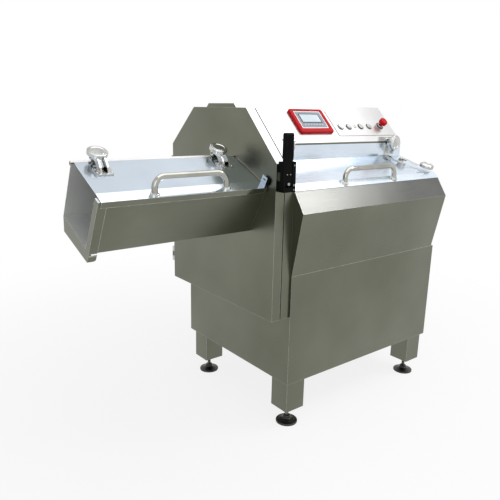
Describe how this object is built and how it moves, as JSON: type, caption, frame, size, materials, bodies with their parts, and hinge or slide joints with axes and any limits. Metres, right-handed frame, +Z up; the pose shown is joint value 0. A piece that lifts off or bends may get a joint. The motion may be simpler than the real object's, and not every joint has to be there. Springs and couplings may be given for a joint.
{
  "type": "meat slicer",
  "caption": "Floor-standing portion slicer for meat with an inclined feed chamber, a sickle blade behind a hinged door, a lidded outfeed trough and a sloped control panel.",
  "frame": {"origin": "on the floor, under the middle of the machine's outline", "axes": "+X from the outfeed trough towards the feed end, +Y from the operator towards the back, +Z up"},
  "size_m": [1.739, 0.842, 1.368],
  "materials": {
    "stainless": "vertically brushed",
    "bright_stainless": "mirror-bright sheet",
    "polished_steel": "polished",
    "ground_steel": "turned and ground",
    "machined_aluminium": "milled",
    "cast_pulley": "turned",
    "motor_paint": "satin paint",
    "servo_black": "satin paint",
    "white_plastic": "matt food-grade plastic",
    "black_plastic": "grained",
    "seal_rubber": "matt",
    "red_plastic": "glossy",
    "button_metal": "polished",
    "screen_grey": "satin",
    "display": "glossy, blank",
    "lamp_white": "translucent look"
  },
  "bodies": {
    "machine": {"machine_frame": "stainless", "foot_lock_nuts": "ground_steel", "cabinet_skin": "stainless", "rear_panel": "stainless", "machine_deck": "stainless", "chamber_front": "stainless", "control_cover": "stainless", "blade_housing": "stainless", "cutting_mouth": "white_plastic", "feed_channel": "stainless", "spindle_bearings": "polished_steel", "drive_motor": "motor_paint", "drive_belts": "seal_rubber", "rod_supports": "machined_aluminium", "guide_rods": "polished_steel", "feed_servo": "servo_black", "door_hinge_leaves": "polished_steel", "latch_block": "black_plastic", "chamber_hinge_blocks": "polished_steel", "screen_frame": "red_plastic", "screen_face": "screen_grey", "screen_glass": "display", "button_plate": "stainless", "button_rings": "polished_steel", "power_lamp": "lamp_white", "inlet_gland": "black_plastic"},
    "blade": {"sickle_blade": "ground_steel", "blade_spindle": "ground_steel", "blade_clamp": "ground_steel", "blade_bolts": "ground_steel"},
    "motor_rotor": {"motor_pulley": "cast_pulley"},
    "pusher": {"pusher_carriage": "machined_aluminium", "pusher_plate": "white_plastic"},
    "gripper_claws": {"gripper_claws": "ground_steel"},
    "feed_screw": {"feed_screw": "polished_steel"},
    "door": {"blade_door": "stainless", "door_seal": "seal_rubber", "outfeed_trough": "stainless", "mouth_collar": "stainless", "trough_rail": "stainless", "lid_switch": "black_plastic"},
    "trough_lid": {"trough_lid": "bright_stainless", "trough_lid_handle": "polished_steel", "trough_lid_hinges": "polished_steel"},
    "chamber_lid": {"chamber_lid": "bright_stainless", "chamber_lid_handle": "polished_steel", "chamber_lid_hinges": "polished_steel", "lid_lock_bar": "polished_steel"},
    "lid_lock_lever": {"lid_lock_lever": "polished_steel"},
    "latch_lever": {"latch_lever": "black_plastic"},
    "emergency_stop": {"emergency_stop": "red_plastic"},
    "start_button": {"start_button": "button_metal"},
    "stop_button": {"stop_button": "button_metal"},
    "feed_forward_button": {"feed_forward_button": "button_metal"},
    "feed_back_button": {"feed_back_button": "button_metal"},
    "levelling_foot_front_left": {"levelling_foot_front_left": "ground_steel"},
    "levelling_foot_front_right": {"levelling_foot_front_right": "ground_steel"},
    "levelling_foot_rear_left": {"levelling_foot_rear_left": "ground_steel"},
    "levelling_foot_rear_right": {"levelling_foot_rear_right": "ground_steel"}
  },
  "joints": [
    {"name": "blade_turn", "type": "hinge", "parent": "machine", "child": "blade", "pos_m": [-0.1175, 0.031, 0.885], "axis": [1, 0, 0], "continuous": true},
    {"name": "motor_turn", "type": "hinge", "parent": "machine", "child": "motor_rotor", "pos_m": [0.1895, 0.031, 0.376], "axis": [1, 0, 0], "continuous": true},
    {"name": "pusher_feed", "type": "slide", "parent": "machine", "child": "pusher", "axis": [-1, 0, 0], "range_m": [0, 0.62]},
    {"name": "claws_lift", "type": "hinge", "parent": "pusher", "child": "gripper_claws", "pos_m": [0.5955, -0.26477, 1.03073], "axis": [0, 0.9033, 0.4289], "range_deg": [0, 55]},
    {"name": "feed_screw_turn", "type": "hinge", "parent": "machine", "child": "feed_screw", "pos_m": [0.6995, 0.03393, 1.13603], "axis": [1, 0, 0], "range_deg": [-10, 11170]},
    {"name": "door_swing", "type": "hinge", "parent": "machine", "child": "door", "pos_m": [-0.1865, 0.412, 0.64], "axis": [0, 0, -1], "range_deg": [0, 110]},
    {"name": "trough_lid_lift", "type": "hinge", "parent": "door", "child": "trough_lid", "pos_m": [-0.5005, -0.09307, 1.17287], "axis": [-1, 0, 0], "range_deg": [0, 100]},
    {"name": "chamber_lid_lift", "type": "hinge", "parent": "machine", "child": "chamber_lid", "pos_m": [0.3765, -0.137, 1.214], "axis": [-1, 0, 0], "range_deg": [0, 110]},
    {"name": "lid_lock_turn", "type": "hinge", "parent": "chamber_lid", "child": "lid_lock_lever", "pos_m": [0.7445, -0.22179, 1.12009], "axis": [0, -0.2953, 0.9554], "range_deg": [0, 60]},
    {"name": "latch_pull", "type": "hinge", "parent": "machine", "child": "latch_lever", "pos_m": [-0.16, -0.3865, 1.074], "axis": [1, 0, 0], "range_deg": [0, 90]},
    {"name": "emergency_stop_press", "type": "slide", "parent": "machine", "child": "emergency_stop", "axis": [0, 0.7114, -0.7028], "range_m": [0, 0.006], "stiffness_N_per_m": 800, "springref_m": -0.006},
    {"name": "start_button_press", "type": "slide", "parent": "machine", "child": "start_button", "axis": [0, 0.7114, -0.7028], "range_m": [0, 0.004], "stiffness_N_per_m": 500, "springref_m": -0.004},
    {"name": "stop_button_press", "type": "slide", "parent": "machine", "child": "stop_button", "axis": [0, 0.7114, -0.7028], "range_m": [0, 0.004], "stiffness_N_per_m": 500, "springref_m": -0.004},
    {"name": "feed_forward_button_press", "type": "slide", "parent": "machine", "child": "feed_forward_button", "axis": [0, 0.7114, -0.7028], "range_m": [0, 0.004], "stiffness_N_per_m": 500, "springref_m": -0.004},
    {"name": "feed_back_button_press", "type": "slide", "parent": "machine", "child": "feed_back_button", "axis": [0, 0.7114, -0.7028], "range_m": [0, 0.004], "stiffness_N_per_m": 500, "springref_m": -0.004},
    {"name": "foot_front_left_height", "type": "slide", "parent": "machine", "child": "levelling_foot_front_left", "axis": [0, 0, 1], "range_m": [-0.03, 0]},
    {"name": "foot_front_right_height", "type": "slide", "parent": "machine", "child": "levelling_foot_front_right", "axis": [0, 0, 1], "range_m": [-0.03, 0]},
    {"name": "foot_rear_left_height", "type": "slide", "parent": "machine", "child": "levelling_foot_rear_left", "axis": [0, 0, 1], "range_m": [-0.03, 0]},
    {"name": "foot_rear_right_height", "type": "slide", "parent": "machine", "child": "levelling_foot_rear_right", "axis": [0, 0, 1], "range_m": [-0.03, 0]}
  ],
  "couplings": [
    {"joint": "motor_turn", "follows": "blade_turn", "ratio": 1.2783},
    {"joint": "feed_screw_turn", "follows": "pusher_feed", "rad_per_m": 314.16}
  ]
}
